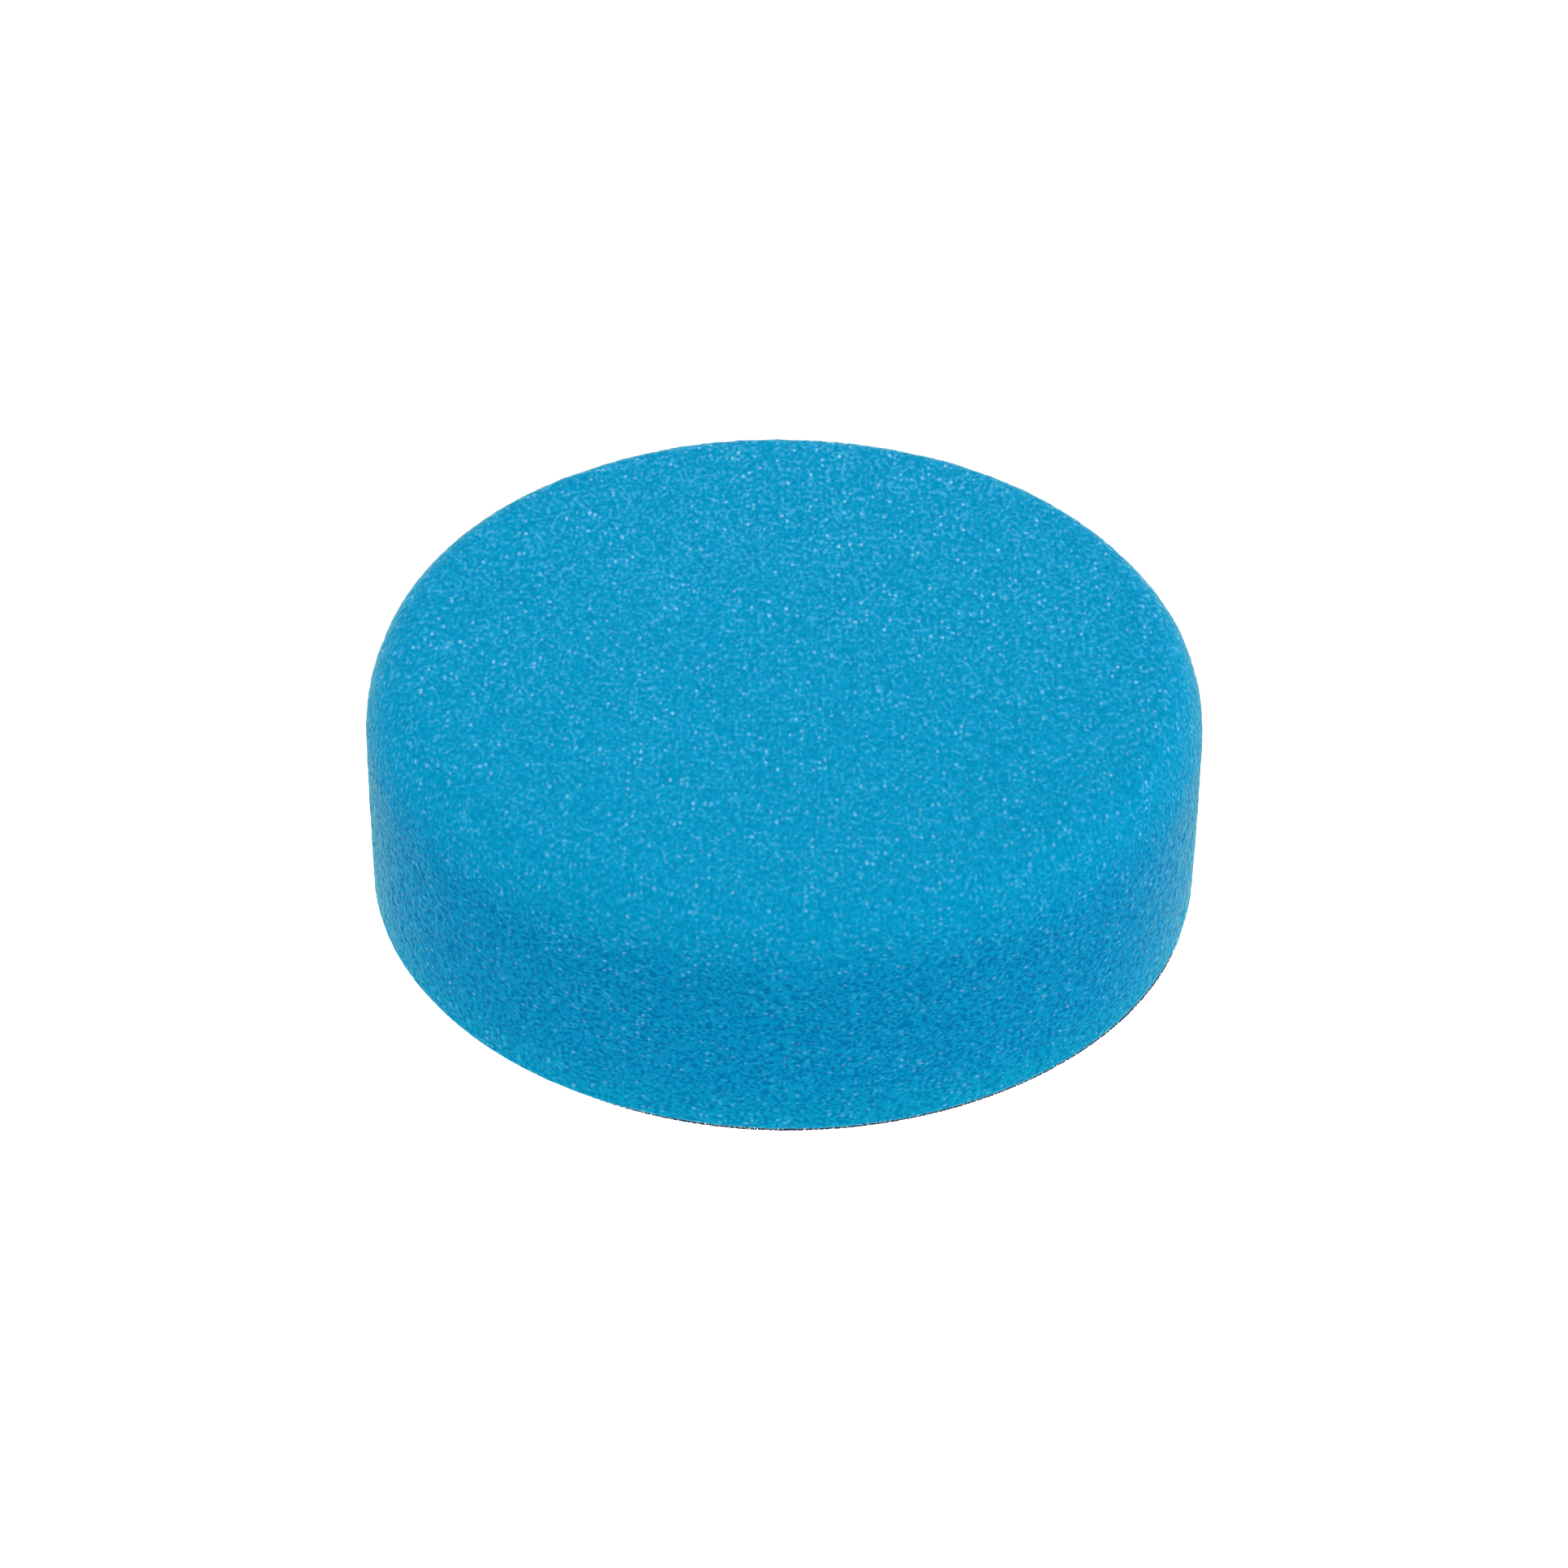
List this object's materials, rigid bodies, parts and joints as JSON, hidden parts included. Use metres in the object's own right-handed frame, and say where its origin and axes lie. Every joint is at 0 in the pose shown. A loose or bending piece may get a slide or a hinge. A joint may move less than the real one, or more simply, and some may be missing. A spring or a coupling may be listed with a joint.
{
  "type": "polishing sponge",
  "caption": "Round foam polishing sponge with a soft rounded shoulder, bonded to a disc of loop fabric that grips a hook-faced backing plate.",
  "frame": {"origin": "middle of the foam's footprint, on the surface that the sponge stands on, under the loop fabric", "axes": "+Z along the foam's axis from the loop fabric up to the polishing face; X and Y are free, as the foam is round"},
  "size_m": [0.08, 0.08, 0.0265],
  "materials": {
    "foam": "open-cell polyurethane foam, fine pores with glinting cell walls, bright blue all through",
    "loop_fabric": "brushed loop velour, dark navy"
  },
  "bodies": {
    "root": {"foam_pad": "foam", "loop_backing": "loop_fabric"}
  },
  "joints": []
}
